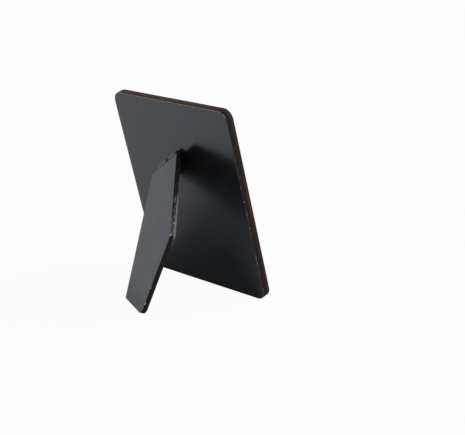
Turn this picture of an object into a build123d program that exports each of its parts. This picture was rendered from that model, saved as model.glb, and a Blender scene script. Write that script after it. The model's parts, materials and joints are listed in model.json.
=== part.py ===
"""Easel back photo panel: a coated board that leans back on a hinged, five-sided leg.

Every piece is drawn in the panel's own frame, with the panel upright: X runs across the
panel, Y points out of its back, Z runs up it, and the origin is the middle of the bottom
back edge. The whole assembly is then leaned back and set down on the floor.
"""

import os
from math import cos, radians, sin, sqrt

from build123d import *

# Panel: the board that carries the photo on its front, in millimetres
panel_width = 101.6
panel_height = 127.0
board_thickness = 5.2
coating_thickness = 0.3
panel_corner_radius = 6.5
panel_edge_radius = 0.25

# Stance, in degrees
lean_angle = 15.7  # of the panel, standing on its short side
side_lean_angle = 24.8  # of the panel, standing on its long side
opening_angle = 42.0  # of the leg, from the panel to the hinge's stop

# Leg: a flat board with a foot for each way of standing
leg_thickness = 3.2
leg_width = 34.7  # along the hinge
leg_shift = 2.4  # from the hinge's middle to the leg's, along the hinge
leg_top_drop = 4.1  # from the hinge's axis down to the leg's top edge
foot_length = 32.6  # of the foot that goes with the panel's short side
heel_radius = 5.0  # of the corner between the two feet
toe_radius = 0.8  # of the leg's other corners
leg_edge_radius = 0.25

# Hinge: set across the panel at a slant, so that the leg serves both ways of standing
hinge_offset = 8.5  # from the panel's centre line to the barrel's middle
hinge_height = 86.75  # from the panel's bottom edge to the barrel's middle
hinge_slant = 34.0  # degrees
hinge_length = 25.4
middle_knuckle_length = 3.4
knuckle_gap = 0.3
leaf_thickness = 0.8
pin_diameter = 1.6
pin_proud = 0.3  # of the barrel, at each end
pin_chamfer = 0.2
running_clearance = 0.05  # around the pin, in the knuckles that turn
seat_clearance = 0.02  # around what is pressed, riveted or screwed in
barrel_clearance = 0.25  # from the barrel to the panel's back and the leaves' notches
stop_clearance = 0.03  # from the open stop to the panel's back
stop_rise = 0.35  # from the axis up to the stop, along the panel
panel_leaf_width = 12.0
panel_leaf_depth = 11.0  # from the axis to the round end
leg_leaf_corner_radius = 2.0

# Screws that hold the panel's leaf
screw_diameter = 2.0
screw_head_diameter = 3.6
screw_head_height = 0.6
screw_head_radius = 0.35
screw_spacing = 6.4
screw_cover = 1.2  # board left under the screw's point
screw_point_length = 1.2
screw_tip_diameter = 0.3  # of the blunt end of the point
screw_slot_length = 2.0
screw_slot_width = 0.5
screw_slot_depth = 0.35

# Rivets that hold the leg's leaf
rivet_diameter = 2.0
rivet_head_diameter = 3.8
rivet_head_height = 0.5
rivet_head_radius = 0.3
rivet_spacing = 16.0
rivet_inset = 8.1  # from the leg's top edge
rivet_margin = 3.8  # from the rivets to the leaf's lower edge
clinch_diameter = 3.2  # of the flattened end on the leg's outer face
clinch_height = 0.25
clinch_radius = 0.15

# Sizes that follow from these
pin_radius = pin_diameter / 2
barrel_radius = pin_radius + running_clearance + leaf_thickness
axis_standoff = barrel_radius + barrel_clearance
outer_knuckle_start = middle_knuckle_length / 2 + knuckle_gap
leg_leaf_depth = leg_top_drop + rivet_inset + rivet_margin
leg_outer_face = leaf_thickness + leg_thickness
screw_drop = panel_leaf_depth - panel_leaf_width / 2
rivet_drop = leg_top_drop + rivet_inset
cut_overrun = leaf_thickness

# Frames: the hinge lies on the panel, and the open leg is swung out from it.
# In both, X runs along the barrel, Y away from the panel and Z up the leg.
hinge_frame = Pos(hinge_offset, axis_standoff, hinge_height) * Rot(0, hinge_slant, 0)
leg_frame = hinge_frame * Rot(opening_angle, 0, 0)


# Shared shapes

def slab(outline, low, thickness):
    """Plate of an outline drawn in X and Z, from Y = low outwards."""
    return extrude(Plane.XZ.offset(-(low + thickness)) * outline, thickness)


def rod(radius, start, end):
    """Round bar along X."""
    return Pos((start + end) / 2, 0, 0) * Rot(0, 90, 0) * Cylinder(radius, end - start)


def drill(radius, x, z, low, high):
    """Round bar along Y, for a hole through plates."""
    return Pos(x, (low + high) / 2, z) * Rot(-90, 0, 0) * Cylinder(radius, high - low)


def pair(spacing):
    """Two places, evenly either side of the middle."""
    return (-spacing / 2, spacing / 2)


# Panel

def make_board():
    outline = Pos(0, panel_height / 2) * RectangleRounded(panel_width, panel_height, panel_corner_radius)
    board = slab(outline, -board_thickness, board_thickness)
    faces = board.faces().sort_by(Axis.Y)
    board = fillet(faces[0].edges() + faces[-1].edges(), panel_edge_radius)
    reach = axis_standoff + board_thickness - screw_cover
    for x in pair(screw_spacing):
        hole = drill(screw_diameter / 2 + seat_clearance, x, -screw_drop, -reach, 0)
        board -= hinge_frame * hole
    return board


def make_coating():
    """Glossy skin over the front, out to where the board's edge starts to round."""
    width = panel_width - 2 * panel_edge_radius
    height = panel_height - 2 * panel_edge_radius
    outline = RectangleRounded(width, height, panel_corner_radius - panel_edge_radius)
    low = -board_thickness - coating_thickness
    return slab(Pos(0, panel_height / 2) * outline, low, coating_thickness)


# Leg

def eased_lift(radius, tilt_sine):
    """How far rounding an edge raises its lowest line, with one face that far off level."""
    return radius * (tilt_sine + sqrt(1 - tilt_sine**2) - 1)


def foot_line(floor_up, panel_edge_level):
    """Where the leg's inner face meets a floor: a, b and c of a * x + b * z = c, on the leg."""
    leg = Plane(leg_frame)
    inner_face = leg.origin + leg.y_dir * leaf_thickness
    panel_tilt = abs(floor_up.Y)
    level = panel_edge_level + eased_lift(panel_edge_radius, panel_tilt)
    level += eased_lift(leg_edge_radius, floor_up.dot(leg.y_dir))
    return floor_up.dot(leg.x_dir), floor_up.dot(leg.z_dir), level - floor_up.dot(inner_face)


def meet(first, second):
    """The point where two lines on the leg cross."""
    a, b, c = first
    d, e, f = second
    scale = a * e - b * d
    return ((c * e - b * f) / scale, (a * f - c * d) / scale)


def leg_corners():
    """Corners of the leg in X and Z, from the top round by the long side's foot."""
    lean = radians(lean_angle)
    side_lean = radians(side_lean_angle)
    short_side_up = Vector(0, -sin(lean), cos(lean))
    long_side_up = Vector(cos(side_lean), -sin(side_lean), 0)
    front_foot = foot_line(short_side_up, 0)
    side_foot = foot_line(long_side_up, -panel_width / 2 * cos(side_lean))
    right_side = leg_width / 2 - leg_shift
    left_side = right_side - leg_width
    left_edge = (1, 0, left_side)
    heel = meet(front_foot, side_foot)
    a, b, _ = front_foot
    stride = foot_length / sqrt(a**2 + b**2)
    toe = (heel[0] + stride * b, heel[1] - stride * a)
    return [
        (right_side, -leg_top_drop),
        (left_side, -leg_top_drop),
        meet(left_edge, side_foot),
        heel,
        toe,
    ]


def make_leg():
    corners = leg_corners()
    heel = corners[3]
    outline = make_face(Polyline(*corners, close=True))
    for corner in corners:
        radius = heel_radius if corner == heel else toe_radius
        outline = fillet(outline.vertices().sort_by_distance(Vector(*corner))[0], radius)
    leg = slab(outline, leaf_thickness, leg_thickness)
    faces = leg.faces().sort_by(Axis.Y)
    leg = fillet(faces[0].edges() + faces[-1].edges(), leg_edge_radius)
    for x in pair(rivet_spacing):
        leg -= drill(rivet_diameter / 2 + seat_clearance, x, -rivet_drop, 0, leg_outer_face + cut_overrun)
    return leg_frame * leg


# Hinge

def make_panel_leaf():
    """Round-ended tongue on the panel's back, rolled into the middle knuckle."""
    bend = panel_leaf_depth - panel_leaf_width / 2
    outline = Pos(0, -bend / 2) * Rectangle(panel_leaf_width, bend)
    outline += Pos(0, -bend) * Circle(panel_leaf_width / 2)
    outline -= Rectangle(panel_leaf_width, 2 * axis_standoff)
    outline += Pos(0, -axis_standoff / 2) * Rectangle(middle_knuckle_length, axis_standoff)
    leaf = slab(outline, -axis_standoff, leaf_thickness)
    leaf += rod(barrel_radius, -middle_knuckle_length / 2, middle_knuckle_length / 2)
    leaf -= rod(pin_radius + seat_clearance, -middle_knuckle_length, middle_knuckle_length)
    for x in pair(screw_spacing):
        leaf -= drill(screw_diameter / 2 + seat_clearance, x, -screw_drop, -axis_standoff - cut_overrun, 0)
    return hinge_frame * leaf


def make_leg_leaf():
    """Wide plate on the leg's inner face, rolled into the two outer knuckles."""
    outline = Pos(0, -leg_leaf_depth / 2) * Rectangle(hinge_length, leg_leaf_depth)
    outline = fillet(outline.vertices().group_by(Axis.Y)[0], leg_leaf_corner_radius)
    outline -= Rectangle(2 * outer_knuckle_start, 2 * axis_standoff)
    leaf = slab(outline, 0, leaf_thickness)
    knuckle_length = hinge_length / 2 - outer_knuckle_start
    stop_reach = axis_standoff - stop_clearance - pin_radius
    for side in (-1, 1):
        middle = side * (outer_knuckle_start + knuckle_length / 2)
        leaf += rod(barrel_radius, middle - knuckle_length / 2, middle + knuckle_length / 2)
        # The rolled end stands proud behind the barrel and stops the open leg on the panel.
        stop = Pos(middle, -pin_radius - stop_reach / 2, stop_rise + leaf_thickness / 2)
        leaf += Rot(-opening_angle, 0, 0) * stop * Box(knuckle_length, stop_reach, leaf_thickness)
    leaf -= rod(pin_radius + running_clearance, -hinge_length, hinge_length)
    for x in pair(rivet_spacing):
        leaf -= drill(rivet_diameter / 2 + seat_clearance, x, -rivet_drop, -cut_overrun, leg_outer_face)
    return leg_frame * leaf


def make_pin():
    end = hinge_length / 2 + pin_proud
    pin = rod(pin_radius, -end, end)
    pin = chamfer(pin.edges().filter_by(GeomType.CIRCLE), pin_chamfer)
    return hinge_frame * pin


# Fasteners, each drawn about Z with its head up

def screw():
    length = leaf_thickness + board_thickness - screw_cover
    shank = length - screw_point_length
    head = Pos(0, 0, screw_head_height / 2) * Cylinder(screw_head_diameter / 2, screw_head_height)
    head = fillet(head.edges().group_by(Axis.Z)[-1], screw_head_radius)
    slot_middle = screw_head_height - screw_slot_depth / 2
    for turn in (0, 90):
        slot = Box(screw_slot_length, screw_slot_width, screw_slot_depth)
        head -= Pos(0, 0, slot_middle) * Rot(0, 0, turn) * slot
    body = head + Pos(0, 0, -shank / 2) * Cylinder(screw_diameter / 2, shank)
    point = Cone(screw_diameter / 2, screw_tip_diameter / 2, screw_point_length)
    return body + Pos(0, 0, -shank - screw_point_length / 2) * Rot(180, 0, 0) * point


def make_screws():
    head_seat = leaf_thickness - axis_standoff
    turned = Rot(-90, 0, 0)
    places = [Pos(x, head_seat, -screw_drop) * turned for x in pair(screw_spacing)]
    return Compound([hinge_frame * place * screw() for place in places])


def rivet():
    """Head below the leaf, shank through leaf and leg, end clinched on the leg's outer face."""
    head = Pos(0, 0, -rivet_head_height / 2) * Cylinder(rivet_head_diameter / 2, rivet_head_height)
    head = fillet(head.edges().group_by(Axis.Z)[0], rivet_head_radius)
    shank = Pos(0, 0, leg_outer_face / 2) * Cylinder(rivet_diameter / 2, leg_outer_face)
    clinch = Cylinder(clinch_diameter / 2, clinch_height)
    clinch = fillet(clinch.edges().group_by(Axis.Z)[-1], clinch_radius)
    return head + shank + Pos(0, 0, leg_outer_face + clinch_height / 2) * clinch


def make_rivets():
    turned = Rot(-90, 0, 0)
    places = [Pos(x, 0, -rivet_drop) * turned for x in pair(rivet_spacing)]
    return Compound([leg_frame * place * rivet() for place in places])


# Assembly

pieces = {
    "panel_board": make_board(),
    "front_coating": make_coating(),
    "easel_leg": make_leg(),
    "hinge_panel_leaf": make_panel_leaf(),
    "hinge_leg_leaf": make_leg_leaf(),
    "hinge_pin": make_pin(),
    "panel_leaf_screws": make_screws(),
    "leg_leaf_rivets": make_rivets(),
}

# Lean the panel back, then put the origin on the floor under the middle of the whole.
leaned = Rot(-lean_angle, 0, 0)
box = Compound([leaned * piece for piece in pieces.values()]).bounding_box()
standing = Pos(0, -(box.min.Y + box.max.Y) / 2, -box.min.Z) * leaned

os.makedirs("parts", exist_ok=True)
for name, piece in pieces.items():
    export_step(standing * piece, f"parts/{name}.step")

hinge = Plane(standing * hinge_frame)
front = Plane(standing * Pos(0, -board_thickness - coating_thickness, panel_height / 2))
print("hinge axis through", hinge.origin, "along", hinge.x_dir)
print("middle of the front", front.origin, "facing", -front.y_dir)
print("overall size", box.size)
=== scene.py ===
# %% [markdown]
# A small photo panel on an easel leg
#
# The real object is a thick hardboard panel with a glossy blank front and a black lacquered
# back. A five-sided hardboard leg folds out from it on a small slanted hinge.
# The construction model is loaded first and stays the reference for every size and place.
# Blender then adds what the construction model leaves out: eased and chipped edges, sawn
# walls, loose fibres and finishes.

# %% Load the frame
import json
import math

import bpy
import numpy as np
from mathutils import Matrix, Vector


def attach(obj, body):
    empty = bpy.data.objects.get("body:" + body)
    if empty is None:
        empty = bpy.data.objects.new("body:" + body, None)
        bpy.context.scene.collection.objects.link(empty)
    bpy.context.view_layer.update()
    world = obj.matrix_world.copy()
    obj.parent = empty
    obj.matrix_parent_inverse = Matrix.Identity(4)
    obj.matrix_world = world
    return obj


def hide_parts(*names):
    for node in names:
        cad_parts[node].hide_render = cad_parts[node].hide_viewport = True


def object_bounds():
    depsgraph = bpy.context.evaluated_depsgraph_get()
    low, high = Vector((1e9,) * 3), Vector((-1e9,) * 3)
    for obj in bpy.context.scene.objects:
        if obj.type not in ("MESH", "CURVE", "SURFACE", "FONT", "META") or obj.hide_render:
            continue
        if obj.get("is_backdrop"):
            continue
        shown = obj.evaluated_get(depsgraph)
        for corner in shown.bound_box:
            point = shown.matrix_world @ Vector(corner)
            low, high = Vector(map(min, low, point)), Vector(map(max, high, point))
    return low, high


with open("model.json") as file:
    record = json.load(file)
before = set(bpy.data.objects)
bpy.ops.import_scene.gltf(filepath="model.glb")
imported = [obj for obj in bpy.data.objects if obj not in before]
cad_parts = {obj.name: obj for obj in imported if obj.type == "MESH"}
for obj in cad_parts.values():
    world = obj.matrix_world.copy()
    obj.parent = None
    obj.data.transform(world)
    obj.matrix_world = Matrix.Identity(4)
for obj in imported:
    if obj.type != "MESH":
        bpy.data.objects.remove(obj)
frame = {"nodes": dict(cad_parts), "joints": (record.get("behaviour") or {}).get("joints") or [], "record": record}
cad_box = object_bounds()
nodes = frame["nodes"]
record = frame["record"]
print("nodes", sorted(nodes))

# %% [markdown]
# Frames for the two boards
#
# Each board is easiest to describe lying flat: up the board, across it, and out of its back.
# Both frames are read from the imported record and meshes, so nothing is typed in twice: the
# panel leans as its front mount says, and the leg follows the hinge's axis and its own face.

# %% Points of a node
mm = 0.001


def corners_of(node):
    """The node's vertices as an array of points, in metres."""
    points = np.empty(len(nodes[node].data.vertices) * 3, np.float32)
    nodes[node].data.vertices.foreach_get("co", points)
    return points.reshape(-1, 3).astype(float)


def laid_flat(node, place):
    """The node's points in the frame that place stands for."""
    turned = np.array(place.inverted())
    return corners_of(node) @ turned[:3, :3].T + turned[:3, 3]


print("points of each node", {node: len(corners_of(node)) for node in sorted(nodes)})


# %% Frames for the two boards
def widest_normal(node, towards):
    """The normal of the node's largest flat side that looks roughly along towards."""
    roughly = 0.3
    faces = [p for p in nodes[node].data.polygons if p.normal.dot(towards) > roughly]
    return max(faces, key=lambda p: p.area).normal.copy()


def board_frame(node, across, out):
    """A frame on the board's inner face, x up, y across and z out of its back, and its size."""
    across = (across - out * across.dot(out)).normalized()
    turn = Matrix((out.cross(across) * -1, across, out)).transposed()
    flat = corners_of(node) @ np.array(turn)
    low, high = flat.min(0), flat.max(0)
    middle = turn @ Vector(((low[0] + high[0]) / 2, (low[1] + high[1]) / 2, low[2]))
    return Matrix.Translation(middle) @ turn.to_4x4(), Vector(high - low)


photo_face = next(m for m in record["mounts"] if m["name"] == "photo_face")
hinge = next(j for j in frame["joints"] if j["name"] == "leg_hinge")
hinge_axis = Vector(hinge["axis"]).normalized()
hinge_point = Vector(hinge["pos_m"])
panel_out = -Vector(photo_face["axis"]).normalized()
leg_out = widest_normal("easel_leg", panel_out)
panel_frame, panel_size = board_frame("panel_board", Vector((1, 0, 0)), panel_out)
leg_frame, leg_size = board_frame("easel_leg", hinge_axis, leg_out)
for name, size in (("panel", panel_size), ("leg", leg_size)):
    print(name, "up, across, thick in mm:", [round(v / mm, 2) for v in size])

# %% [markdown]
# The camera
#
# The photograph looks at the back from the panel's left and a little from above, through a
# long lens. The place and the focal length come from fitting the straight edges of the panel
# and the leg, so the lens needs no shift. The picture is 465 pixels wide and 435 high.

# %% The camera
def put(name, data):
    """A new object in the scene."""
    thing = bpy.data.objects.new(name, data)
    bpy.context.scene.collection.objects.link(thing)
    return thing


camera_data = bpy.data.cameras.new("photo_camera")
camera_data.sensor_fit = "HORIZONTAL"
camera_data.sensor_width = 36.0
camera_data.lens = 97.78
camera = put("photo_camera", camera_data)
camera.location = (-0.56243, 0.49648, 0.25749)
camera.rotation_euler = (math.radians(74.507), 0, math.radians(-134.426))
bpy.context.scene.camera = camera
bpy.context.scene.view_settings.view_transform = "Standard"
print("camera at", [round(v, 3) for v in camera.location])

# %% [markdown]
# Node helpers
#
# Materials and Geometry Nodes are both trees of nodes, so one small helper adds a node, sets
# its options and either links or fills each input. A few more do arithmetic, smooth steps,
# noise and mixing, which nearly every tree below needs.

# %% Adding nodes
def fill(tree, socket, value):
    """A link where value is a socket, and otherwise the socket's own value."""
    if isinstance(value, bpy.types.NodeSocket):
        tree.links.new(value, socket)
    else:
        socket.default_value = value


def add(tree, kind, inputs=None, **options):
    """One node with its options set and its inputs linked or filled."""
    node = tree.nodes.new(kind)
    for option, value in options.items():
        setattr(node, option, value)
    for key, value in (inputs or {}).items():
        fill(tree, node.inputs[key], value)
    return node


def made(tree, kind, inputs=None, **options):
    """The first output of a new node."""
    return add(tree, kind, inputs, **options).outputs[0]


def empty_tree(owner):
    """The tree of a material or a world, with nothing in it yet."""
    owner.use_nodes = True
    owner.node_tree.nodes.clear()
    return owner.node_tree


print("node helpers ready")


# %% Numbers and vectors in trees
def calc(tree, operation, first, second=0.0, third=None):
    """A Math node's result."""
    inputs = {0: first, 1: second}
    if third is not None:
        inputs[2] = third
    return made(tree, "ShaderNodeMath", inputs, operation=operation)


def vector(tree, operation, first, second=(0, 0, 0)):
    """A Vector Math node's result; a scale takes a number."""
    keys = (0, "Scale") if operation == "SCALE" else (0, 1)
    inputs = dict(zip(keys, (first, second)))
    node = add(tree, "ShaderNodeVectorMath", inputs, operation=operation)
    return node.outputs["Value" if operation == "LENGTH" else "Vector"]


def split(tree, place):
    """The X, Y and Z of a vector."""
    return add(tree, "ShaderNodeSeparateXYZ", {0: place}).outputs


def point(tree, **parts):
    """A vector from its X, Y and Z, where those left out are zero."""
    return made(tree, "ShaderNodeCombineXYZ", parts)


print("arithmetic ready")


# %% Steps, mixes and noise in trees
def ramp(tree, value, low, high, start=0.0, end=1.0):
    """A smooth step from start to end while value goes from low to high."""
    keys = {"Value": value, "From Min": low, "From Max": high, "To Min": start, "To Max": end}
    node = add(tree, "ShaderNodeMapRange", keys, interpolation_type="SMOOTHSTEP")
    return node.outputs["Result"]


def mix(tree, share, first, second):
    """A mix of two colours."""
    node = add(tree, "ShaderNodeMix", {0: share, 6: first, 7: second}, data_type="RGBA")
    return node.outputs[2]


def blend(tree, share, first, second):
    """A mix of two numbers."""
    return calc(tree, "MULTIPLY_ADD", share, calc(tree, "SUBTRACT", second, first), first)


def noise(tree, place, scale, detail=2.0, rough=0.5, **more):
    """A noise texture's grey value, in four dimensions where W is given; scale is per metre."""
    keys = {"Vector": place, "Scale": scale, "Detail": detail, "Roughness": rough, **more}
    dimensions = "4D" if "W" in more else "3D"
    return made(tree, "ShaderNodeTexNoise", keys, noise_dimensions=dimensions)


def spread(tree, grey, start=0.0, end=1.0):
    """A smooth step over the middle of a noise, where most of its values lie."""
    return ramp(tree, grey, 0.3, 0.7, start, end)


print("steps, mixes and noise ready")

# %% [markdown]
# Floor and light
#
# The panel stands on a white table in an even white room. One broad soft light comes from the
# picture's right and from above, on the side of the panel's front. So the back shows mostly
# what its lacquer mirrors: the bright table far to the left, and the shadow close behind the
# panel. That is why mirror rays see the table as it is really lit. Camera rays see it almost
# white, with a little of its shading left in, so that the shadow stays. The lamps are low
# enough that the blank front keeps just under pure white.

# %% The table
table_reach = 6.0
seen_white = 0.96  # share of plain white in what the camera sees of the table
white = (1, 1, 1, 1)
around = ((-1, -1), (1, -1), (1, 1), (-1, 1))

floor_mesh = bpy.data.meshes.new("table_top")
floor_corners = [(x * table_reach, y * table_reach, 0) for x, y in around]
floor_mesh.from_pydata(floor_corners, [], [(0, 1, 2, 3)])
floor = put("table_top", floor_mesh)
floor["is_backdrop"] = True

table_white = bpy.data.materials.new("table_white")
tree = empty_tree(table_white)
path = add(tree, "ShaderNodeLightPath").outputs
shaded = made(tree, "ShaderNodeBsdfDiffuse", {"Color": (0.95, 0.95, 0.95, 1)})
bright = made(tree, "ShaderNodeEmission", {"Color": white, "Strength": 1.0})
share = calc(tree, "MULTIPLY", path["Is Camera Ray"], seen_white)
mixed = made(tree, "ShaderNodeMixShader", {0: share, 1: shaded, 2: bright})
add(tree, "ShaderNodeOutputMaterial", {"Surface": mixed})
floor_mesh.materials.append(table_white)
print("table", 2 * table_reach, "m across")

# %% The room
fill_level = 0.19  # of the room's light on surfaces; camera and mirror rays see it white

room = bpy.data.worlds.new("white_room")
tree = empty_tree(room)
path = add(tree, "ShaderNodeLightPath").outputs
seen = calc(tree, "MAXIMUM", path["Is Camera Ray"], path["Is Glossy Ray"])
seen = calc(tree, "MAXIMUM", seen, path["Is Transmission Ray"])
level = ramp(tree, seen, 0.0, 1.0, fill_level, 1.0)
backdrop = made(tree, "ShaderNodeBackground", {"Color": white, "Strength": level})
add(tree, "ShaderNodeOutputWorld", {"Surface": backdrop})
bpy.context.scene.world = room
print("room lights surfaces at", fill_level)

# %% The key light
key_from = Vector((-0.46, -0.59, 0.67))

key_data = bpy.data.lights.new("soft_key", "SUN")
key_data.energy = 2.6
key_data.angle = math.radians(65)
key = put("soft_key", key_data)
key.rotation_euler = key_from.to_track_quat("Z", "Y").to_euler()
key.location = key_from
print("key light from", [round(v, 2) for v in key_from])

# %% [markdown]
# Finish groups
#
# Three effects are shared, so each is a node group. The lacquer group gives a slightly mottled
# black with faint orange peel and, where it is asked for, a film of dust. The cut edge group
# gives pressed fibre in layers, as the saw leaves hardboard. The worn group says where lacquer
# is gone, broken up by fine noise.

# %% An empty finish group
colour_kind, value_kind = "NodeSocketColor", "NodeSocketFloat"


def group(name, inputs, outputs):
    """An empty shader group with a Place vector and named numbers, and its two end nodes."""
    tree = bpy.data.node_groups.new(name, "ShaderNodeTree")
    tree.interface.new_socket("Place", in_out="INPUT", socket_type="NodeSocketVector")
    for label, default in inputs.items():
        socket = tree.interface.new_socket(label, in_out="INPUT", socket_type=value_kind)
        socket.default_value = default
    for label, kind in outputs.items():
        tree.interface.new_socket(label, in_out="OUTPUT", socket_type=kind)
    given = tree.nodes.new("NodeGroupInput").outputs
    return tree, given, tree.nodes.new("NodeGroupOutput").inputs


surface = {"Colour": colour_kind, "Roughness": value_kind, "Height": value_kind}
print("a surface group gives", list(surface))

# %% Black lacquer
deep_black, thin_black = (0.0027, 0.0028, 0.0032, 1), (0.0051, 0.0053, 0.0061, 1)
dust_grey, speck_grey = (0.137, 0.152, 0.169, 1), (0.016, 0.016, 0.017, 1)

film_inputs = {"Roughness": 0.3, "Mottle": 1.0, "Dust": 0.0}
lacquer, given, out = group("black_lacquer", film_inputs, surface)
cloud = noise(lacquer, given["Place"], 90.0, 4.0, 0.6)
grit = noise(lacquer, given["Place"], 2600.0, 2.0, 0.6)
peel = noise(lacquer, given["Place"], 500.0, 2.0, 0.5)
shade = mix(lacquer, spread(lacquer, cloud), deep_black, thin_black)
dusty = calc(lacquer, "MULTIPLY", given["Dust"], spread(lacquer, peel, 0.85, 1.15))
shade = mix(lacquer, dusty, shade, dust_grey)
specks = calc(lacquer, "MULTIPLY", ramp(lacquer, grit, 0.68, 0.78), given["Mottle"])
faint_specks = calc(lacquer, "MULTIPLY", specks, 0.5)
fill(lacquer, out["Colour"], mix(lacquer, faint_specks, shade, speck_grey))
uneven = calc(lacquer, "MULTIPLY", spread(lacquer, cloud, -0.03, 0.03), given["Mottle"])
uneven = calc(lacquer, "MULTIPLY_ADD", specks, 0.12, uneven)
fill(lacquer, out["Roughness"], calc(lacquer, "ADD", given["Roughness"], uneven))
soft_peel = calc(lacquer, "MULTIPLY", peel, 0.7)
fill(lacquer, out["Height"], calc(lacquer, "MULTIPLY_ADD", grit, 0.3, soft_peel))
print("lacquer group with", len(lacquer.nodes), "nodes")


# %% Cut fibre
def grain(tree, place, across, length, count):
    """Noise in streaks of one length, with so many of them over a wall's thickness."""
    # The noise scales W as it does the place, so the count is given in lengths.
    drift = calc(tree, "MULTIPLY", across, count * length)
    return noise(tree, place, 1 / length, 3.0, 0.6, W=drift)


front_brown, back_brown = (0.0225, 0.0128, 0.0098, 1), (0.0086, 0.0056, 0.0050, 1)
pale_brown, dark_brown = (0.056, 0.0353, 0.026, 1), (0.0073, 0.0051, 0.0045, 1)
strand_brown = (0.0587, 0.038, 0.0287, 1)

fibre, given, out = group("cut_fibre", {"Across": 0.5}, surface)
depth = given["Across"]
layers = grain(fibre, given["Place"], depth, 25 * mm, 5)
strands = grain(fibre, given["Place"], depth, 2.5 * mm, 9)
brown = mix(fibre, ramp(fibre, depth, 0.35, 0.85), front_brown, back_brown)
band_start = ramp(fibre, depth, 0.08, 0.2)
band_end = ramp(fibre, depth, 0.26, 0.42, 1.0, 0.0)
pale_band = calc(fibre, "MULTIPLY", band_start, band_end)
pale_band = calc(fibre, "MULTIPLY", pale_band, ramp(fibre, layers, 0.3, 0.6))
brown = mix(fibre, pale_band, brown, pale_brown)
brown = mix(fibre, ramp(fibre, layers, 0.42, 0.56, 0.8, 0.0), brown, dark_brown)
brown = mix(fibre, ramp(fibre, strands, 0.52, 0.72, 0.0, 0.6), brown, strand_brown)
fill(fibre, out["Colour"], brown)
fill(fibre, out["Roughness"], spread(fibre, strands, 0.7, 0.9))
fill(fibre, out["Height"], strands)
print("cut fibre group with", len(fibre.nodes), "nodes")

# %% Worn share
worn, given, out = group("worn_share", {"Nick": 0.0}, {"Share": value_kind})
broken = noise(worn, given["Place"], 1500.0, 3.0, 0.6)
ragged = calc(worn, "SUBTRACT", broken, 0.5)
edge_of_wear = calc(worn, "MULTIPLY_ADD", ragged, 0.7, given["Nick"])
fill(worn, out["Share"], ramp(worn, edge_of_wear, 0.3, 0.55))
print("worn group with", len(worn.nodes), "nodes")

# %% [markdown]
# Face and wall materials
#
# A board has two finishes: smooth lacquer on its faces, and a dull sawn wall. They mirror
# light very differently, so each is a material of its own. Dust on the leg's face lies thicker
# towards the table, and that grey near the foot is partly painted brightness, which lifts the
# foot where its lacquer mirrors the table's shadow. A wall is scuffed in streaks that weaken
# towards the back, and both show pale bare fibre where an arris is nicked. The geometry tells
# them where through attributes that the next step stores: across, nick and scuff.

# %% Material helpers
def plain_material(name):
    """A new material with an empty tree and Object coordinates."""
    material = bpy.data.materials.new(name)
    tree = empty_tree(material)
    return material, tree, add(tree, "ShaderNodeTexCoord").outputs["Object"]


def use(tree, shared, **inputs):
    """A group node's outputs, with its inputs linked or filled."""
    return add(tree, "ShaderNodeGroup", inputs, node_tree=shared).outputs


def attribute(tree, name):
    """A float attribute of the mesh."""
    return add(tree, "ShaderNodeAttribute", attribute_name=name).outputs["Fac"]


def finish(tree, colour, roughness, height, bump_height, **constants):
    """A Principled surface with a bump, and its output."""
    keys = {"Strength": 1.0, "Distance": bump_height, "Height": height}
    bump = made(tree, "ShaderNodeBump", keys)
    keys = {"Base Color": colour, "Roughness": roughness, "Normal": bump, **constants}
    shader = made(tree, "ShaderNodeBsdfPrincipled", keys)
    add(tree, "ShaderNodeOutputMaterial", {"Surface": shader})


print("material helpers ready")

# %% Face materials
cool_gloss = (0.785, 0.855, 0.97, 1)
dust_lift_low, dust_lift_high = -10 * mm, 45 * mm  # heights between which the dust and the painted brightening change


def face_material(name, roughness, mottle, dust, foot_dust_and_lift, gloss, bare):
    """Black lacquer with bare nicks at its arrises, and dust that changes towards the table; the foot's extra
    share is partly painted brightness.
    """
    material, tree, place = plain_material(name)
    dust_and_lift = ramp(tree, split(tree, place)["Z"], dust_lift_low, dust_lift_high, foot_dust_and_lift, dust)
    film = use(tree, lacquer, Place=place, Roughness=roughness, Mottle=mottle, Dust=dust_and_lift)
    gone = use(tree, worn, Place=place, Nick=attribute(tree, "nick"))["Share"]
    relief = blend(tree, gone, 0.03 * mottle, 1.0)
    height = calc(tree, "MULTIPLY", film["Height"], relief)
    constants = {"Specular IOR Level": gloss, "IOR": 1.54, "Specular Tint": cool_gloss}
    colour = mix(tree, gone, film["Colour"], bare)
    dullness = blend(tree, gone, film["Roughness"], 0.85)
    finish(tree, colour, dullness, height, 0.06 * mm, **constants)
    return material


panel_face = face_material(
    "panel_black_face", roughness=0.22, mottle=0.5, dust=0.0, foot_dust_and_lift=0.0, gloss=0.95,
    bare=(0.32, 0.28, 0.25, 1),
)
# The extra grey at the leg's foot is partly dust and partly painted brightness against the table's mirrored
# shadow.
leg_face = face_material(
    "leg_black_face", roughness=0.5, mottle=1.0, dust=0.40, foot_dust_and_lift=0.95, gloss=0.65,
    bare=(0.45, 0.41, 0.37, 1),
)
print("face materials", panel_face.name, leg_face.name)

# %% Wall materials
wall_paint = (0.0122, 0.0125, 0.0145, 1)
short_streak = 1.2 * mm


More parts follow.
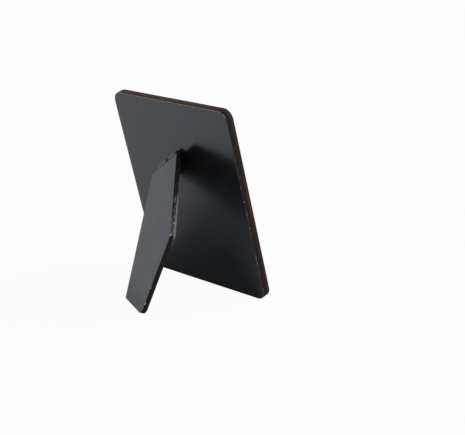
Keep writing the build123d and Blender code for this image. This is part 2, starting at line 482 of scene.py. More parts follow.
def wall_material(name, painted, bare, scuffed, contrast, streak, back_share):
    """A sawn wall, painted by a share, with scuffs weaker towards the back, and bare nicks."""
    material, tree, place = plain_material(name)
    across = attribute(tree, "across")
    cut = use(tree, fibre, Place=place, Across=across)
    gone = use(tree, worn, Place=place, Nick=attribute(tree, "nick"))["Share"]
    own_grain = grain(tree, place, across, streak, 4)
    speckle = blend(tree, 0.55, own_grain, grain(tree, place, across, short_streak, 5))
    scuff = attribute(tree, "scuff")
    lifted = calc(tree, "SUBTRACT", speckle, 0.5)
    patchy = ramp(tree, calc(tree, "MULTIPLY_ADD", lifted, contrast, scuff), 0.2, 0.5)
    rubbed = calc(tree, "MULTIPLY", patchy, ramp(tree, scuff, 0.02, 0.2))
    rubbed = calc(tree, "MULTIPLY", rubbed, ramp(tree, across, 0.5, 0.8, 1.0, back_share))
    colour = mix(tree, painted, cut["Colour"], wall_paint)
    colour = mix(tree, rubbed, colour, scuffed)
    colour = mix(tree, gone, colour, bare)
    constants = {"Specular IOR Level": 0.13}
    finish(tree, colour, cut["Roughness"], cut["Height"], 0.07 * mm, **constants)
    return material


# The panel's scuffed colour shows only on its top wall, where it is painted light for the stronger light from
# above.
panel_wall = wall_material(
    "panel_sawn_wall", painted=0.0, bare=(0.31, 0.253, 0.22, 1),
    scuffed=(0.056, 0.0355, 0.0265, 1), contrast=1.5, streak=9 * mm, back_share=0.3,
)
leg_wall = wall_material(
    "leg_sawn_wall", painted=0.93, bare=(0.56, 0.52, 0.48, 1),
    scuffed=(0.33, 0.325, 0.330, 1), contrast=4.5, streak=0.8 * mm, back_share=0.5,
)
print("wall materials", panel_wall.name, leg_wall.name)

# %% [markdown]
# A worn board, as Geometry Nodes
#
# A sawn board follows a rule: a profile with two eased arrises is carried along the outline,
# and the faces close it. The tree lays a grid out as length along the outline by width over
# the profile, moves each point into place, presses nicks into the arrises where noise and the
# wear along the outline agree, and fills both faces. A bevelled solid would give the easing
# but not the nicks, and a swept curve gives no control of where they come.

# %% Geometry helpers
weld = 0.002 * mm  # points closer than this become one


def named(tree, label):
    """A number that the geometry carries."""
    return made(tree, "GeometryNodeInputNamedAttribute", {"Name": label}, data_type="FLOAT")


def here_split(tree):
    """The X, Y and Z of each point."""
    return split(tree, made(tree, "GeometryNodeInputPosition"))


def along(tree, curve, factor, value=None):
    """A curve sampled at a factor: its place and tangent, or a number that it carries."""
    inputs = {"Curves": curve, "Factor": factor}
    if value is not None:
        inputs["Value"] = named(tree, value)
    options = {"mode": "FACTOR", "use_all_curves": True, "data_type": "FLOAT"}
    return add(tree, "GeometryNodeSampleCurve", inputs, **options).outputs


def store(tree, geometry, **values):
    """The geometry with named numbers on its points."""
    options = {"data_type": "FLOAT", "domain": "POINT"}
    for label, value in values.items():
        keys = {"Geometry": geometry, "Name": label, "Value": value}
        geometry = made(tree, "GeometryNodeStoreNamedAttribute", keys, **options)
    return geometry


def unit_grid(tree, along_count, over_count):
    """A grid one metre each way about the origin, with so many points each way."""
    keys = {"Size X": 1.0, "Size Y": 1.0, "Vertices X": along_count, "Vertices Y": over_count}
    return made(tree, "GeometryNodeMeshGrid", keys)


def merged(tree, geometry, distance=weld):
    """The geometry with points that lie together made one."""
    keys = {"Geometry": geometry, "Distance": distance}
    return made(tree, "GeometryNodeMergeByDistance", keys)


print("geometry helpers ready")


# %% Lines that the board is laid on
arris_steps = 6


def board_lines(tree, given):
    """The outline as a curve, and the profile from one face over the wall to the other."""
    line = made(tree, "GeometryNodeMeshToCurve", {"Mesh": given["Outline"]})
    keys = {"Curve": line, "Length": given["Spacing"]}
    line = made(tree, "GeometryNodeResampleCurve", keys, mode="LENGTH")
    rim, thick = given["Rim"], given["Thickness"]
    profile = add(tree, "GeometryNodeCurvePrimitiveQuadrilateral", mode="POINTS")
    corners = ((rim, 0.0), (0.0, 0.0), (0.0, thick), (rim, thick))
    for number, (inset, height) in enumerate(corners, 1):
        corner = point(tree, X=inset, Y=height)
        fill(tree, profile.inputs["Point %d" % number], corner)
    keys = {"Geometry": profile.outputs[0], "Cyclic": False}
    profile = made(tree, "GeometryNodeSetSplineCyclic", keys)
    keys = {"Curve": profile, "Radius": given["Arris"], "Count": arris_steps}
    return line, made(tree, "GeometryNodeFilletCurve", keys, mode="POLY")


print("arrises eased in", arris_steps, "steps")

# %% Wear on the board's edge
wear_kinds = ("wear_inner", "wear_outer", "wear_wall")


def board_wear(tree, given, line, clean, u, inset, height):
    """How much each point is nicked and scuffed, and which way up or down a nick sinks."""
    from_back = calc(tree, "SUBTRACT", given["Thickness"], height)
    nearest = calc(tree, "MINIMUM", height, from_back)
    to_arris = vector(tree, "LENGTH", point(tree, X=inset, Y=nearest))
    full_bite = calc(tree, "MULTIPLY", given["Arris"], 0.4)
    near = ramp(tree, to_arris, full_bite, given["Nick Reach"], 1.0, 0.0)
    inner, outer, scuffed = (along(tree, line, u, kind)["Value"] for kind in wear_kinds)
    back_side = ramp(tree, calc(tree, "DIVIDE", height, given["Thickness"]), 0.3, 0.7)
    wear = blend(tree, back_side, inner, outer)
    broad_scale = calc(tree, "MULTIPLY", given["Nick Scale"], 0.25)
    coarse = noise(tree, clean, broad_scale, 2.0, 0.5, W=given["Seed"])
    fine = noise(tree, clean, given["Nick Scale"], 3.0, 0.6, W=given["Seed"])
    # Noise alone stays mostly below zero here, so a nick needs wear to lift it.
    uneven = calc(tree, "MULTIPLY_ADD", blend(tree, 0.6, coarse, fine), 1.6, -0.96)
    chance = calc(tree, "MULTIPLY_ADD", wear, 0.5, uneven)
    bitten = calc(tree, "MULTIPLY", ramp(tree, chance, 0.0, 0.1), near)
    nick = calc(tree, "MULTIPLY", bitten, ramp(tree, wear, 0.25, 0.85, 0.4, 1.0))
    patch = calc(tree, "MULTIPLY_ADD", calc(tree, "SUBTRACT", coarse, 0.5), 0.4, scuffed)
    scuff = calc(tree, "MULTIPLY", calc(tree, "MAXIMUM", patch, 0.0), scuffed)
    sink = calc(tree, "SIGN", calc(tree, "SUBTRACT", from_back, height))
    return nick, scuff, point(tree, Z=sink)


print("wear of kinds", wear_kinds)


# %% The shell of the board
def worn_place(tree, given, clean, inward, lean, nick, wall):
    """Where a point goes: pressed in and up or down by a nick, and inwards by saw marks."""
    depth = calc(tree, "MULTIPLY", nick, given["Nick Depth"])
    depth = calc(tree, "MULTIPLY", depth, 0.7)
    pressed = vector(tree, "SCALE", vector(tree, "ADD", inward, lean), depth)
    long_way = vector(tree, "MULTIPLY", clean, (1.0, 1.0, 0.15))
    marks = noise(tree, long_way, 1400.0, 2.0, 0.5, W=given["Seed"])
    saw = calc(tree, "MULTIPLY", marks, calc(tree, "MULTIPLY", given["Saw Depth"], wall))
    sawn = vector(tree, "ADD", pressed, vector(tree, "SCALE", inward, saw))
    return vector(tree, "ADD", clean, sawn)


def board_shell(tree, given, line, profile):
    """The wall and a rim of both faces, as a grid laid along the outline."""
    grid = unit_grid(tree, given["Along"], given["Over"])
    flat = here_split(tree)
    u, v = (calc(tree, "ADD", flat[axis], 0.5) for axis in ("X", "Y"))
    here = along(tree, line, u)
    lying = split(tree, along(tree, profile, v)["Position"])
    inset, height = lying["X"], lying["Y"]
    tangent = split(tree, here["Tangent"])
    inward = point(tree, X=calc(tree, "MULTIPLY", tangent["Y"], -1.0), Y=tangent["X"])
    to_middle = vector(tree, "SCALE", vector(tree, "NORMALIZE", here["Position"]), -1.0)
    # Past the arris a face runs towards the middle, so that its rim never crosses itself.
    bent = vector(tree, "SCALE", inward, calc(tree, "MINIMUM", inset, given["Arris"]))
    past = calc(tree, "SUBTRACT", inset, given["Arris"])
    rest = vector(tree, "SCALE", to_middle, calc(tree, "MAXIMUM", past, 0.0))
    up = point(tree, Z=height)
    on_line = vector(tree, "ADD", here["Position"], bent)
    clean = vector(tree, "ADD", on_line, vector(tree, "ADD", rest, up))
    nick, scuff, lean = board_wear(tree, given, line, clean, u, inset, height)
    wall = ramp(tree, inset, 0.0, given["Arris"], 1.0, 0.0)
    shell = store(tree, grid, row=v, nick=nick, scuff=scuff, wall=wall)
    moved = worn_place(tree, given, clean, inward, lean, nick, wall)
    keys = {"Geometry": shell, "Position": moved}
    return merged(tree, made(tree, "GeometryNodeSetPosition", keys))


print("shell helpers ready")

# %% Closing the board
row_end = 0.0001  # share of the profile that counts as its first or last row


def board_faces(tree, given, shell):
    """The shell with both faces filled from its outermost rows."""
    row = named(tree, "row")
    joined = tree.nodes.new("GeometryNodeJoinGeometry")
    for low, high, lift in ((1 - row_end, 2.0, given["Thickness"]), (-1.0, row_end, 0.0)):
        above, below = calc(tree, "GREATER_THAN", row, low), calc(tree, "LESS_THAN", row, high)
        chosen = calc(tree, "MULTIPLY", above, below)
        rim = made(tree, "GeometryNodeMeshToCurve", {"Mesh": shell, "Selection": chosen})
        cap = made(tree, "GeometryNodeFillCurve", {"Curve": rim}, mode="TRIANGLES")
        if low < 0:
            cap = made(tree, "GeometryNodeFlipFaces", {"Mesh": cap})
        keys = {"Geometry": cap, "Translation": point(tree, Z=lift)}
        tree.links.new(made(tree, "GeometryNodeTransform", keys), joined.inputs[0])
    tree.links.new(shell, joined.inputs[0])
    return merged(tree, joined.outputs[0])


def new_tree(name, sizes, result):
    """An empty geometry tree with named inputs, and their sockets inside it."""
    tree = bpy.data.node_groups.new(name, "GeometryNodeTree")
    for label, kind in sizes.items():
        tree.interface.new_socket(label, in_out="INPUT", socket_type="NodeSocket" + kind)
    tree.interface.new_socket(result, in_out="OUTPUT", socket_type="NodeSocketGeometry")
    return tree, tree.nodes.new("NodeGroupInput").outputs


def painted(tree, geometry, material, **more):
    """The geometry with a material, on a selection of it where one is given."""
    keys = {"Geometry": geometry, **more, "Material": material}
    return made(tree, "GeometryNodeSetMaterial", keys)


print("closing helpers ready")

# %% The worn board tree
mostly_wall = 0.45  # above this share of wall, a face is sawn and not lacquered
numbers = (
    "Thickness", "Arris", "Rim", "Spacing", "Nick Depth", "Nick Reach", "Nick Scale",
    "Saw Depth", "Seed",
)
sizes = {
    "Outline": "Geometry", "Along": "Int", "Over": "Int", "Face": "Material",
    "Wall": "Material", **dict.fromkeys(numbers, "Float"),
}
worn_board, given = new_tree("worn_board", sizes, "Board")
shell = board_shell(worn_board, given, *board_lines(worn_board, given))
board = board_faces(worn_board, given, shell)
across = calc(worn_board, "DIVIDE", here_split(worn_board)["Z"], given["Thickness"])
board = store(worn_board, board, across=across)
board = made(worn_board, "GeometryNodeSetShadeSmooth", {"Geometry": board})
board = made(worn_board, "GeometryNodeRealizeInstances", {"Geometry": board})
board = painted(worn_board, board, given["Face"])
walled = calc(worn_board, "GREATER_THAN", named(worn_board, "wall"), mostly_wall)
board = painted(worn_board, board, given["Wall"], Selection=walled)
add(worn_board, "NodeGroupOutput", {0: board})
print("board tree with", len(worn_board.nodes), "nodes")

# %% [markdown]
# From outline to board
#
# The outline is read from the construction model itself: its points laid flat in the board's
# frame, and the hull round them. Wear is written on that outline before the tree runs. A few
# spots name the places that get knocked, each with a reach, and every outline point takes the
# strongest of them.

# %% The outline of a board
def turns_left(a, b, c):
    """Whether the way from a over b to c turns left."""
    return (b[0] - a[0]) * (c[1] - a[1]) > (b[1] - a[1]) * (c[0] - a[0])


def hull(points):
    """The points of the outline round a flat cloud, anticlockwise."""
    points = sorted(set(map(tuple, np.round(points, 7))))

    def half(run):
        kept = []
        for p in run:
            while len(kept) > 1 and not turns_left(kept[-2], kept[-1], p):
                kept.pop()
            kept.append(p)
        return kept[:-1]

    return np.array(half(points) + half(points[::-1]))


def outline_of(node, place, spacing):
    """A board's outline in its own frame, with points no further apart than spacing."""
    outline = hull(laid_flat(node, place)[:, :2])
    filled = []
    for a, b in zip(outline, np.roll(outline, -1, 0)):
        steps = max(1, int(np.ceil(np.linalg.norm(b - a) / spacing)))
        filled += [a + (b - a) * i / steps for i in range(steps)]
    return np.array(filled)


def wear_on(outline, spots):
    """The strongest of the spots of each kind at each outline point."""
    wear = {kind: np.zeros(len(outline)) for kind in wear_kinds}
    for kind, up, across, wide, strength in spots:
        away = np.hypot(outline[:, 0] - up, outline[:, 1] - across)
        wear[kind] = np.maximum(wear[kind], strength * np.exp(-((away / wide) ** 2)))
    return wear


outline_spacing = 0.4 * mm
panel_outline = outline_of("panel_board", panel_frame, outline_spacing)
leg_outline = outline_of("easel_leg", leg_frame, outline_spacing)
print("outlines of", len(panel_outline), "and", len(leg_outline), "points")


# %% Running a tree
def line_host(name, points, closed, **numbers):
    """An object that is only a line of points, each with its numbers."""
    count = len(points)
    edges = [(i, (i + 1) % count) for i in range(count if closed else count - 1)]
    mesh = bpy.data.meshes.new(name)
    mesh.from_pydata([tuple(p) for p in points], edges, [])
    for label, values in numbers.items():
        carried = mesh.attributes.new(label, "FLOAT", "POINT")
        carried.data.foreach_set("value", np.asarray(values, np.float32))
    return put(name, mesh)


def run_tree(host, tree, place, values, name):
    """The plain object that a tree makes on a host, moved into place; the host goes."""
    modifier = host.modifiers.new(tree.name, "NODES")
    modifier.node_group = tree
    for item in tree.interface.items_tree:
        if item.in_out == "INPUT" and item.name in values:
            modifier[item.identifier] = values[item.name]
    bpy.context.view_layer.update()
    graph = bpy.context.evaluated_depsgraph_get()
    grown = host.evaluated_get(graph)
    options = {"preserve_all_data_layers": True, "depsgraph": graph}
    mesh = bpy.data.meshes.new_from_object(grown, **options)
    host.modifiers.remove(modifier)
    bpy.data.objects.remove(host)
    mesh.name = name
    mesh.transform(place)
    triangles = sum(len(p.vertices) - 2 for p in mesh.polygons)
    print(name, len(mesh.vertices), "points", triangles, "triangles")
    return put(name, mesh)


def make_board(name, node, body, slot, place, outline, wear, **values):
    """A worn board that stands for a CAD node and rides on its body."""
    host = line_host(name + "_outline", [(x, y, 0.0) for x, y in outline], True, **wear)
    board = run_tree(host, worn_board, place, values, name)
    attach(board, body)
    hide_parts(node)


print("board maker ready")

# %% [markdown]
# The panel
#
# The panel comes from the tree with its own sizes. Its back arris is rubbed in a thin pale
# line along the top, more so at one corner, and weakly down the side next to it, with a few
# flecks. The pale line along the top is partly painted highlight, for the light the eased arris
# catches. The top wall's scuff colour makes it lighter and browner than the sides, which is
# painted light for the stronger light that falls on top. Places are given from the panel's
# middle: up it and across it.

# %% Wear on the panel
top, side = panel_size.x / 2, -panel_size.y / 2
top_rub_and_highlight = ((40, 1.0), (22, 1.0), (4, 0.8), (-18, 0.8))
down_side = ((31, 8), (18, 8), (-12, 24), (-42, 20))
flecks = ((5.5, 0.95), (-3.2, 0.85), (-12.2, 1.0), (-32.6, 0.9), (-55.2, 0.8))

# Along the top, the rub on the back arris is partly painted highlight for the light the eased arris catches.
panel_spots = [
    ("wear_outer", top, -38 * mm, 10 * mm, 1.15),
    ("wear_outer", top - 1.5 * mm, side + 1.0 * mm, 3 * mm, 0.85),
]
panel_spots += [("wear_outer", top, off * mm, 14 * mm, much) for off, much in top_rub_and_highlight]
# These wall spots lighten the top wall as painted light, for the stronger light that falls on top.
panel_spots += [("wear_wall", top, off * mm, 16 * mm, 0.85) for off in (40, 20, 0, -24)]
panel_spots += [("wear_outer", up * mm, side, wide * mm, 0.44) for up, wide in down_side]
panel_spots += [("wear_outer", up * mm, side, 0.6 * mm, much) for up, much in flecks]
panel_wear = wear_on(panel_outline, panel_spots)
print("panel worn at", len(panel_spots), "spots")

# %% The panel
nicks = {"Nick Depth": 0.2 * mm, "Nick Reach": 0.65 * mm, "Nick Scale": 900.0}
make_board(
    "panel_board_worn", "panel_board", "panel", "panel_black",
    panel_frame, panel_outline, panel_wear,
    Thickness=panel_size.z, Arris=0.25 * mm, Rim=2.0 * mm, Spacing=0.4 * mm,
    Along=1100, Over=38, Seed=3.0, Face=panel_face, Wall=panel_wall,
    **nicks, **{"Saw Depth": 0.05 * mm},
)

# %% [markdown]
# The leg
#
# The leg comes from the same tree. Places on it are given from the hinge's middle: down the
# leg and along the barrel. Its inner arris is frayed towards the corner that stands on the
# table when the panel lies on its long side, and the wall beside it is scuffed in fine grey
# specks, more so towards that corner. Three corners of its outer arris are chipped.

# %% Wear on the leg
leg_hinge = leg_frame.inverted() @ hinge_point
leg_side = leg_outline[:, 1].min()
on_side = leg_outline[:, 1] < leg_side + 0.2 * mm


def from_hinge(down, along_barrel):
    """A place on the leg, from the hinge's middle."""
    return leg_hinge.x - down * mm, leg_hinge.y + along_barrel * mm


side_wear = (
    ("wear_inner", 38, 7, 1.0), ("wear_inner", 50, 10, 1.1),
    ("wear_wall", 22, 14, 0.3), ("wear_wall", 35, 8, 0.4),
    ("wear_wall", 44, 8, 0.47), ("wear_wall", 53, 10, 0.52),
)
chips = ((57.4, -19.7, 1.0, 1.05), (83.6, 2.7, 1.5, 0.8), (91.7, 9.8, 1.5, 0.75))
leg_spots = [
    (kind, from_hinge(down, 0)[0], leg_side, wide * mm, much)
    for kind, down, wide, much in side_wear
]
leg_spots += [
    ("wear_outer", *from_hinge(down, off), wide * mm, much) for down, off, wide, much in chips
]
leg_wear = wear_on(leg_outline, leg_spots)
leg_wear["wear_wall"] *= on_side
print("leg worn at", len(leg_spots), "spots")

# %% The leg
nicks = {"Nick Depth": 0.2 * mm, "Nick Reach": 0.8 * mm, "Nick Scale": 560.0}
make_board(
    "easel_leg_worn", "easel_leg", "leg", "leg_black",
    leg_frame, leg_outline, leg_wear,
    Thickness=leg_size.z, Arris=0.45 * mm, Rim=1.6 * mm, Spacing=0.3 * mm,
    Along=1000, Over=34, Seed=8.0, Face=leg_face, Wall=leg_wall,
    **nicks, **{"Saw Depth": 0.06 * mm},
)

# %% [markdown]
# Frayed fibres
#
# Where hardboard frays, slivers of fibre stand off the arris, mostly along it. They repeat
# along a path, so a second tree sets thin cones on the worn run of the leg's inner arris,
# fewer where the wear is weak, each a little off the line, turned and sized at random.

# %% Fibre material
dull_fibre, pale_fibre = (0.32, 0.29, 0.265, 1), (0.66, 0.62, 0.57, 1)

bare_fibre, tree, place = plain_material("bare_fibre")
streak = noise(tree, place, 1200.0, 3.0, 0.6)
tan = mix(tree, spread(tree, streak), dull_fibre, pale_fibre)
rough = spread(tree, streak, 0.7, 0.9)
finish(tree, tan, rough, streak, 0.03 * mm, **{"Specular IOR Level": 0.2})
print("fibre", bare_fibre.name)

# %% Points for the fibres
def dice(tree, given, low, high, offset, kind="FLOAT_VECTOR"):
    """Random values between two bounds, from the tree's seed."""
    seed = calc(tree, "ADD", given["Seed"], offset)
    node = add(tree, "FunctionNodeRandomValue", {"Seed": seed}, data_type=kind)
    first = 0 if kind == "FLOAT_VECTOR" else 2
    node.inputs[first].default_value, node.inputs[first + 1].default_value = low, high
    return node.outputs[0 if kind == "FLOAT_VECTOR" else 1]


def fibre_points(tree, given):
    """Points along the line, fewer where it is frayed less, each a little off it."""
    line = made(tree, "GeometryNodeMeshToCurve", {"Mesh": given["Line"]})
    keys = {"Curve": line, "Count": given["Count"]}
    dots = add(tree, "GeometryNodeCurveToPoints", keys, mode="COUNT")
    level = named(tree, "fray")
    bald = calc(tree, "GREATER_THAN", dice(tree, given, 0.0, 1.0, 1, "FLOAT"), level)
    keys = {"Geometry": dots.outputs["Points"], "Selection": bald}
    kept = made(tree, "GeometryNodeDeleteGeometry", keys, domain="POINT")
    off_line = dice(tree, given, (0, 0, -1), (0, 0.6, 1), 2)
    keys = {"Geometry": kept, "Offset": vector(tree, "SCALE", off_line, given["Scatter"])}
    return made(tree, "GeometryNodeSetPosition", keys)


print("fibre points ready")

# %% The frayed edge tree
sizes = {
    "Line": "Geometry", "Count": "Int", "Length": "Float", "Thickness": "Float",
    "Splay": "Float", "Scatter": "Float", "Seed": "Int", "Material": "Material",
}
frayed_edge, given = new_tree("frayed_edge", sizes, "Fibres")
kept = fibre_points(frayed_edge, given)
lie = dice(frayed_edge, given, (-0.3, -1, -1), (0.3, 0.2, 1), 3)
lie = vector(frayed_edge, "SCALE", lie, given["Splay"])
lie = vector(frayed_edge, "ADD", (1.0, 0.0, 0.0), lie)
turn = made(frayed_edge, "FunctionNodeAlignRotationToVector", {"Vector": lie}, axis="Z")
keys = {"Vertices": 5, "Radius Bottom": given["Thickness"], "Radius Top": 0.0}
sliver = made(frayed_edge, "GeometryNodeMeshCone", {**keys, "Depth": given["Length"]})
keys = {"Points": kept, "Instance": sliver, "Rotation": turn}
keys["Scale"] = dice(frayed_edge, given, (0.5, 0.5, 0.4), (1.2, 1.2, 1.5), 4)
tufts = made(frayed_edge, "GeometryNodeInstanceOnPoints", keys)
tufts = made(frayed_edge, "GeometryNodeRealizeInstances", {"Geometry": tufts})
add(frayed_edge, "NodeGroupOutput", {0: painted(frayed_edge, tufts, given["Material"])})
print("fray tree with", len(frayed_edge.nodes), "nodes")

# %% Fibres on the leg
least_fray = 0.15
fray_share = 0.8  # of the wear, as the chance that a fibre stays

level = leg_wear["wear_inner"]
start = 0
if level[0] > least_fray:
    start = int(np.argmax(np.roll(level, 1) < least_fray))
ordered, level = np.roll(leg_outline, -start, 0), np.roll(level, -start)
frayed = np.flatnonzero(level > least_fray)
run = slice(frayed[0], frayed[-1] + 1)
frayed_line = [(x, y, 0.0) for x, y in ordered[run]]
host = line_host("frayed_line", frayed_line, False, fray=level[run] * fray_share)
values = {
    "Count": 130, "Length": 1.5 * mm, "Thickness": 0.07 * mm, "Splay": 0.22,
    "Scatter": 0.28 * mm, "Seed": 5, "Material": bare_fibre,
}
fibres = run_tree(host, frayed_edge, leg_frame, values, "easel_leg_fray")
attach(fibres, "leg")

# %% [markdown]
# Rivets
#
# Two rivets hold the hinge to the leg. Their ends are pressed almost flush with the outer face
# and lacquered over with it, so they show only as two soft swellings. A rivet is a turned
# shape, so the tree turns one profile round its axis and sets it down twice.

# %% The turned pair tree
sizes = {
    "Profile": "Geometry", "Around": "Int", "Over": "Int", "Spacing": "Float",
    "Material": "Material",
}
turned_pair, given = new_tree("turned_pair", sizes, "Pair")
profile = made(turned_pair, "GeometryNodeMeshToCurve", {"Mesh": given["Profile"]})
grid = unit_grid(turned_pair, given["Around"], given["Over"])
flat = here_split(turned_pair)
angle = calc(turned_pair, "MULTIPLY", flat["X"], 2 * math.pi)
over = calc(turned_pair, "ADD", flat["Y"], 0.5)
at = split(turned_pair, along(turned_pair, profile, over)["Position"])
east = calc(turned_pair, "MULTIPLY", at["X"], calc(turned_pair, "COSINE", angle))
north = calc(turned_pair, "MULTIPLY", at["X"], calc(turned_pair, "SINE", angle))
keys = {"Geometry": grid, "Position": point(turned_pair, X=east, Y=north, Z=at["Y"])}
lathe = made(turned_pair, "GeometryNodeSetPosition", keys)
lathe = merged(turned_pair, lathe, weld / 2)
half = calc(turned_pair, "MULTIPLY", given["Spacing"], 0.5)
ends = [point(turned_pair, Y=calc(turned_pair, "MULTIPLY", half, s)) for s in (-1.0, 1.0)]
keys = {"Count": 2, "Start Location": ends[0], "Offset": ends[1]}
places = made(turned_pair, "GeometryNodeMeshLine", keys, mode="END_POINTS")
keys = {"Points": places, "Instance": lathe}
pair = made(turned_pair, "GeometryNodeInstanceOnPoints", keys)
pair = made(turned_pair, "GeometryNodeRealizeInstances", {"Geometry": pair})
pair = made(turned_pair, "GeometryNodeSetShadeSmooth", {"Geometry": pair})
add(turned_pair, "NodeGroupOutput", {0: painted(turned_pair, pair, given["Material"])})
print("rivet tree with", len(turned_pair.nodes), "nodes")

# %% The rivet's profile
shank_radius, head_height, head_rounding = 1.0 * mm, 0.5 * mm, 0.3 * mm
dome_radius, dome_height = 2.3 * mm, 0.2 * mm
dome_sunk, dome_root = 0.015 * mm, 0.2 * mm  # from the leg's face down to the dome's rim and foot

rivet_points = laid_flat("leg_leaf_rivets", leg_frame)
middle = rivet_points[:, 1].mean()
sides = [rivet_points[rivet_points[:, 1] < middle], rivet_points[rivet_points[:, 1] > middle]]
centres = [(s.max(0) + s.min(0)) / 2 for s in sides]
head_radius = np.ptp(sides[0][:, 0]) / 2
head_low, face_level = rivet_points[:, 2].min(), leg_size.z
head_top, root_level = head_low + head_height, face_level - dome_root
rounded = [
    (head_radius * math.cos(a), head_low + head_rounding * (1 - math.sin(a)))
    for a in np.radians(np.linspace(80, 0, 7))
]
dome = [
    (dome_radius * r, face_level + dome_height * (1 - r * r) ** 2 - dome_sunk)
    for r in np.linspace(1.0, 0.0, 12)
]
rivet_profile = [(0.0, head_low), *rounded, (head_radius, head_top), (shank_radius, head_top)]
rivet_profile += [(shank_radius, root_level), (dome_radius, root_level), *dome]
print("rivet profile of", len(rivet_profile), "points")

# %% Rivets on the leg
host = line_host("rivet_profile", [(r, z, 0.0) for r, z in rivet_profile], False)
between = (centres[0] + centres[1]) / 2
place = leg_frame @ Matrix.Translation((between[0], between[1], 0.0))
spacing = centres[1][1] - centres[0][1]
values = {"Around": 49, "Over": 60, "Spacing": spacing, "Material": leg_face}
rivets = run_tree(host, turned_pair, place, values, "leg_rivets_lacquered")
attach(rivets, "leg")
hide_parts("leg_leaf_rivets")

# %% [markdown]
# The coated front
#
# The front is a hard, glossy, blank white coating. The construction node already has the right
# shape, so it only gets a finish: a warm white, a trace of mottle and a long soft ripple. Its
# thin edge was sawn and stained with the board, so the material turns brown behind the face.

# %% Dressing a node
def dress(node, material):
    """The material on a CAD node that stays."""
    mesh = nodes[node].data
    mesh.materials.clear()
    mesh.materials.append(material)


def turned_into(tree, place, target):
    """Object coordinates in another frame of the same object."""
    back = target.inverted()
    keys = {"Vector": place, "Location": back.to_translation(), "Rotation": back.to_euler()}
    return made(tree, "ShaderNodeMapping", keys, vector_type="POINT")


print("dressing helpers ready")

# %% The coated front
shaded_white, clear_white = (0.815, 0.815, 0.803, 1), (0.84, 0.84, 0.83, 1)
stain_dark, stain_pale = (0.030, 0.021, 0.018, 1), (0.070, 0.048, 0.038, 1)

coat, tree, place = plain_material("front_white_coating")
cloud = noise(tree, place, 60.0, 3.0, 0.6)
ripple = noise(tree, place, 240.0, 2.0, 0.5)
front_level = laid_flat("front_coating", panel_frame)[:, 2].min()
level = split(tree, turned_into(tree, place, panel_frame))["Z"]
sawn = ramp(tree, level, front_level + 0.03 * mm, front_level + 0.07 * mm)
clean = mix(tree, spread(tree, cloud), shaded_white, clear_white)
stain = mix(tree, spread(tree, noise(tree, place, 900.0, 3.0, 0.6)), stain_dark, stain_pale)
colour = mix(tree, sawn, clean, stain)
rough = blend(tree, sawn, spread(tree, cloud, 0.07, 0.12), 0.8)
finish(tree, colour, rough, ripple, 0.01 * mm)
dress("front_coating", coat)
print("front", coat.name, "at", round(front_level / mm, 2), "mm from the board")

# %% [markdown]
# The hinge
#
# The hinge is thin pressed steel painted black with the boards. Paint rubs off a barrel first,
# so the leg's leaf lets steel through on its knuckles in fine broken streaks. The pattern is
# turned into the hinge's own frame, where the distance from the axis tells knuckle from plate.
# The panel's leaf sits lower and keeps its paint.

# %% The hinge's frame
hinge_turn = Matrix((hinge_axis, panel_out, hinge_axis.cross(panel_out))).transposed()
hinge_frame = Matrix.Translation(hinge_point) @ hinge_turn.to_4x4()
paint_bump = 0.006 * mm


def from_axis(tree, turned):
    """The distance from the hinge's axis."""
    return vector(tree, "LENGTH", vector(tree, "MULTIPLY", turned, (0.0, 1.0, 1.0)))


print("hinge axis", [round(v, 3) for v in hinge_axis])

# %% The rubbed leaf
skin_start, skin_end = (1.5 * mm, 1.6 * mm), (1.7 * mm, 1.85 * mm)  # of the barrel, from its axis
painted_end = (-10.0 * mm, -8.5 * mm)  # along the barrel, where it starts to be rubbed
crown = (0.66, 0.80)  # share of upwards in the way from the axis, where it is rubbed
bare_steel = (0.58, 0.58, 0.60, 1)

knuckle_paint, tree, place = plain_material("hinge_rubbed_paint")
turned = turned_into(tree, place, hinge_frame)
in_hinge = split(tree, turned)
off_axis = from_axis(tree, turned)
within = ramp(tree, off_axis, *skin_end, 1.0, 0.0)
on_barrel = calc(tree, "MULTIPLY", ramp(tree, off_axis, *skin_start), within)
on_barrel = calc(tree, "MULTIPLY", on_barrel, ramp(tree, in_hinge["X"], *painted_end))
upper = calc(tree, "DIVIDE", in_hinge["Z"], off_axis)
on_barrel = calc(tree, "MULTIPLY", on_barrel, ramp(tree, upper, *crown))
stretched = vector(tree, "MULTIPLY", turned, (0.2, 1.0, 1.0))
streaks = noise(tree, stretched, 1400.0, 3.0, 0.6)
rubbed = calc(tree, "MULTIPLY", on_barrel, ramp(tree, streaks, 0.36, 0.56, 0.45, 0.95))
film = use(tree, lacquer, Place=place, Roughness=0.3, Mottle=1.0)
colour = mix(tree, rubbed, film["Colour"], bare_steel)
rough = blend(tree, rubbed, film["Roughness"], 0.34)
finish(tree, colour, rough, film["Height"], paint_bump, Metallic=rubbed)
dress("hinge_leg_leaf", knuckle_paint)
print("leg's leaf", knuckle_paint.name)

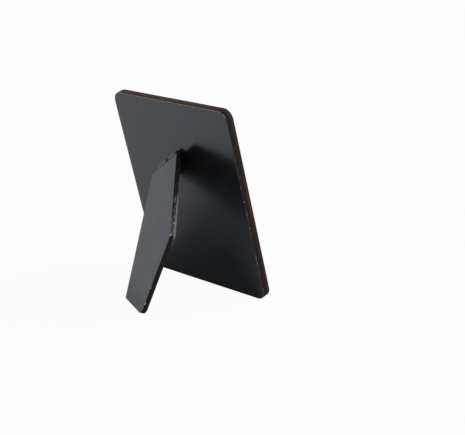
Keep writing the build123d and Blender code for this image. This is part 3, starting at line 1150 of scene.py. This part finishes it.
# %% The painted leaf
leaf_paint, tree, place = plain_material("hinge_black_paint")
film = use(tree, lacquer, Place=place, Roughness=0.55, Mottle=1.0)
constants = {"Specular IOR Level": 0.15}
finish(tree, film["Colour"], film["Roughness"], film["Height"], paint_bump, **constants)
dress("hinge_panel_leaf", leaf_paint)
print("panel's leaf", leaf_paint.name)

# %% [markdown]
# Pin and screws
#
# The pin and the screws are plain steel, and the brush that blacked the hinge went over the
# pin's ends and the screws' heads. In the hinge's frame that is everything past the barrel's
# ends or well away from the axis and above the panel's back.

# %% Pin and screws
barrel_end = (12.4 * mm, 12.6 * mm)  # along the barrel, from its middle
clear_of_pin = (1.0 * mm, 1.4 * mm)  # from the axis
above_panel = (-2.1 * mm, -1.9 * mm)  # out of the panel's back, from the axis
dark_steel, pale_steel = (0.30, 0.30, 0.31, 1), (0.45, 0.45, 0.46, 1)

steel, tree, place = plain_material("plain_steel")
turned = turned_into(tree, place, hinge_frame)
in_hinge = split(tree, turned)
off_axis = from_axis(tree, turned)
past_end = ramp(tree, calc(tree, "ABSOLUTE", in_hinge["X"]), *barrel_end)
apart = ramp(tree, off_axis, *clear_of_pin)
on_head = calc(tree, "MULTIPLY", apart, ramp(tree, in_hinge["Y"], *above_panel))
blacked = calc(tree, "MAXIMUM", past_end, on_head)
brushed = noise(tree, place, 2200.0, 3.0, 0.6)
grey = mix(tree, spread(tree, brushed), dark_steel, pale_steel)
film = use(tree, lacquer, Place=place, Roughness=0.45, Mottle=1.0)
rough = blend(tree, blacked, spread(tree, brushed, 0.28, 0.45), film["Roughness"])
colour = mix(tree, blacked, grey, film["Colour"])
metal = calc(tree, "SUBTRACT", 1.0, blacked)
finish(tree, colour, rough, brushed, 0.004 * mm, Metallic=metal)
for node in ("hinge_pin", "panel_leaf_screws"):
    dress(node, steel)
print("steel", steel.name)

# %% [markdown]
# Sizes and the end
#
# The boxes of the construction model and of the visual model are both measured, and their
# sizes printed.

# %% Sizes and the end
visual_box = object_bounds()
as_lists = {"cad": [list(map(float, p)) for p in cad_box], "visual": [list(map(float, p)) for p in visual_box]}
for label, (low, high) in as_lists.items():
    print(label, "box in mm", [round((h - l) / mm, 2) for l, h in zip(low, high)])
